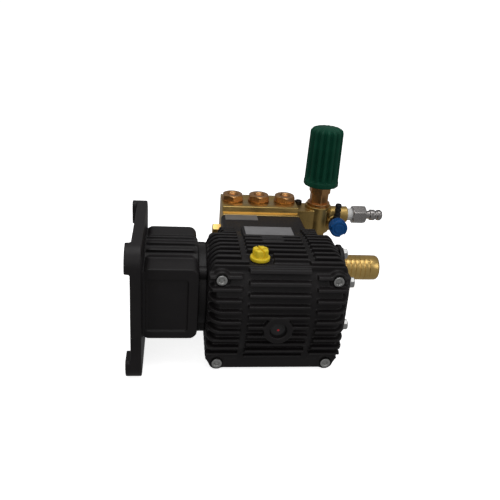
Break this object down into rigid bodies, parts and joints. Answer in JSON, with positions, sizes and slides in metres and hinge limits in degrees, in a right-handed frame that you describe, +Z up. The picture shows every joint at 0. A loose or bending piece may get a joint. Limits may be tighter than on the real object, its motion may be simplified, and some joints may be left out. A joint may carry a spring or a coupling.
{
  "type": "pressure washer pump",
  "caption": "Direct-drive horizontal triplex plunger pump with a four-ear engine flange, finned crankcase, brass valve head, unloader knob and hose fittings.",
  "frame": {"origin": "crankshaft axis where it meets the seating face of the engine flange", "axes": "+X along the crankshaft away from the engine, +Y from the crankcase to the valve head, +Z up"},
  "size_m": [0.3, 0.221, 0.2073],
  "materials": {
    "cast_black": "black satin coated die casting",
    "brass": "forged and machined",
    "bronze": "machined hexagon bar",
    "zinc_steel": "zinc plated",
    "black_steel": "black oxide",
    "bearing_steel": "ground and polished",
    "rod_alloy": "machined",
    "stainless": "turned stainless",
    "rubber": "moulded",
    "packing": "woven ptfe packing",
    "tape": "thread seal tape",
    "ceramic": "ground oxide ceramic",
    "green_plastic": "ribbed moulding",
    "blue_plastic": "ribbed moulding",
    "yellow_plastic": "slotted moulding",
    "black_plastic": "moulding",
    "sight_window": "tinted oil window",
    "red_dial": "float",
    "plate_foil": "blank foil"
  },
  "bodies": {
    "pump_body": {"crankcase": "cast_black", "rear_cover": "cast_black", "rear_cover_seal": "rubber", "socket_screws": "zinc_steel", "bearing_cover": "cast_black", "bearing_cover_bolts": "zinc_steel", "engine_flange": "cast_black", "shaft_oil_seal": "rubber", "bearing_outer_races": "bearing_steel", "plunger_oil_seals": "rubber", "sight_glass": "sight_window", "sight_glass_dial": "red_dial", "drain_plug": "zinc_steel", "manifold": "brass", "manifold_screws": "black_steel", "outlet_valve_caps": "bronze", "inlet_valve_caps": "bronze", "cap_seals": "rubber", "valve_seats": "stainless", "plunger_packings": "packing", "packing_glands": "brass", "port_plugs": "brass", "outlet_valve_springs": "stainless", "inlet_valve_springs": "stainless", "unloader_body": "brass", "unloader_stem": "bronze", "unloader_screws": "black_steel", "outlet_nipple": "stainless", "thread_tape": "tape", "injector_body": "black_plastic", "inlet_barb": "brass", "nameplates": "plate_foil", "unloader_spring": "black_steel"},
    "crank": {"crankshaft": "bearing_steel", "bearing_inner_races": "bearing_steel"},
    "cages": {"bearing_cages": "brass"},
    "rod_1": {"con_rod_1": "rod_alloy"},
    "piston_1": {"plunger_guide_1": "rod_alloy", "wrist_pin_1": "bearing_steel", "plunger_1": "ceramic"},
    "outlet_valve_1": {"outlet_poppet_1": "stainless"},
    "inlet_valve_1": {"inlet_poppet_1": "stainless"},
    "rod_2": {"con_rod_2": "rod_alloy"},
    "piston_2": {"plunger_guide_2": "rod_alloy", "wrist_pin_2": "bearing_steel", "plunger_2": "ceramic"},
    "outlet_valve_2": {"outlet_poppet_2": "stainless"},
    "inlet_valve_2": {"inlet_poppet_2": "stainless"},
    "rod_3": {"con_rod_3": "rod_alloy"},
    "piston_3": {"plunger_guide_3": "rod_alloy", "wrist_pin_3": "bearing_steel", "plunger_3": "ceramic"},
    "outlet_valve_3": {"outlet_poppet_3": "stainless"},
    "inlet_valve_3": {"inlet_poppet_3": "stainless"},
    "relief_piston": {"unloader_piston": "stainless"},
    "follower": {"spring_follower": "stainless"},
    "knob": {"unloader_knob": "green_plastic"},
    "dosing_knob": {"injector_knob": "blue_plastic"},
    "filler_ring": {"oil_cap_ring": "rubber"},
    "filler_cap": {"oil_cap": "yellow_plastic"}
  },
  "joints": [
    {"name": "crank_spin", "type": "hinge", "parent": "pump_body", "child": "crank", "pos_m": [0.1415, 0, 0], "axis": [1, 0, 0], "continuous": true},
    {"name": "cage_spin", "type": "hinge", "parent": "pump_body", "child": "cages", "pos_m": [0.1415, 0, 0], "axis": [1, 0, 0], "continuous": true},
    {"name": "rod_1_turn", "type": "hinge", "parent": "crank", "child": "rod_1", "pos_m": [0.1105, 0.003, 0], "axis": [1, 0, 0], "continuous": true},
    {"name": "plunger_1_stroke", "type": "slide", "parent": "pump_body", "child": "piston_1", "axis": [0, 1, 0], "range_m": [-0.006, 0]},
    {"name": "rod_2_turn", "type": "hinge", "parent": "crank", "child": "rod_2", "pos_m": [0.1415, -0.0015, 0.0026], "axis": [1, 0, 0], "continuous": true},
    {"name": "plunger_2_stroke", "type": "slide", "parent": "pump_body", "child": "piston_2", "axis": [0, 1, 0], "range_m": [-0.0015, 0.0045]},
    {"name": "rod_3_turn", "type": "hinge", "parent": "crank", "child": "rod_3", "pos_m": [0.1725, -0.0015, -0.0026], "axis": [1, 0, 0], "continuous": true},
    {"name": "plunger_3_stroke", "type": "slide", "parent": "pump_body", "child": "piston_3", "axis": [0, 1, 0], "range_m": [-0.0015, 0.0045]},
    {"name": "outlet_valve_1_lift", "type": "slide", "parent": "pump_body", "child": "outlet_valve_1", "axis": [0, 0, 1], "range_m": [0, 0.002], "stiffness_N_per_m": 300, "springref_m": -0.004, "deforming": ["outlet_valve_springs"]},
    {"name": "inlet_valve_1_lift", "type": "slide", "parent": "pump_body", "child": "inlet_valve_1", "axis": [0, 0, 1], "range_m": [0, 0.002], "stiffness_N_per_m": 300, "springref_m": -0.004, "deforming": ["inlet_valve_springs"]},
    {"name": "outlet_valve_2_lift", "type": "slide", "parent": "pump_body", "child": "outlet_valve_2", "axis": [0, 0, 1], "range_m": [0, 0.002], "stiffness_N_per_m": 300, "springref_m": -0.004, "deforming": ["outlet_valve_springs"]},
    {"name": "inlet_valve_2_lift", "type": "slide", "parent": "pump_body", "child": "inlet_valve_2", "axis": [0, 0, 1], "range_m": [0, 0.002], "stiffness_N_per_m": 300, "springref_m": -0.004, "deforming": ["inlet_valve_springs"]},
    {"name": "outlet_valve_3_lift", "type": "slide", "parent": "pump_body", "child": "outlet_valve_3", "axis": [0, 0, 1], "range_m": [0, 0.002], "stiffness_N_per_m": 300, "springref_m": -0.004, "deforming": ["outlet_valve_springs"]},
    {"name": "inlet_valve_3_lift", "type": "slide", "parent": "pump_body", "child": "inlet_valve_3", "axis": [0, 0, 1], "range_m": [0, 0.002], "stiffness_N_per_m": 300, "springref_m": -0.004, "deforming": ["inlet_valve_springs"]},
    {"name": "relief_piston_lift", "type": "slide", "parent": "pump_body", "child": "relief_piston", "axis": [0, 0, 1], "range_m": [0, 0.003], "stiffness_N_per_m": 2000, "springref_m": -0.01, "deforming": ["unloader_spring"]},
    {"name": "pressure_follower_travel", "type": "slide", "parent": "pump_body", "child": "follower", "axis": [0, 0, 1], "range_m": [0, 0.003], "deforming": ["unloader_spring"]},
    {"name": "pressure_knob_turn", "type": "hinge", "parent": "follower", "child": "knob", "pos_m": [0.214, 0.126, 0.1], "axis": [0, 0, 1], "range_deg": [0, 720]},
    {"name": "dosing_knob_turn", "type": "hinge", "parent": "pump_body", "child": "dosing_knob", "pos_m": [0.235, 0.101, 0.025], "axis": [0, -1, 0], "range_deg": [0, 330]},
    {"name": "filler_cap_lift", "type": "slide", "parent": "pump_body", "child": "filler_ring", "axis": [0, 0, 1], "range_m": [0, 0.0075]},
    {"name": "filler_cap_turn", "type": "hinge", "parent": "filler_ring", "child": "filler_cap", "pos_m": [0.1235, -0.0345, 0.05], "axis": [0, 0, 1], "range_deg": [0, 900]}
  ],
  "couplings": [
    {"joint": "cage_spin", "follows": "crank_spin", "ratio": 0.41},
    {"joint": "rod_1_turn", "follows": "crank_spin", "ratio": -1},
    {"joint": "rod_2_turn", "follows": "crank_spin", "ratio": -1},
    {"joint": "rod_3_turn", "follows": "crank_spin", "ratio": -1},
    {"joint": "pressure_knob_turn", "follows": "pressure_follower_travel", "rad_per_m": 4188.7},
    {"joint": "filler_cap_turn", "follows": "filler_cap_lift", "rad_per_m": 2094.3}
  ]
}
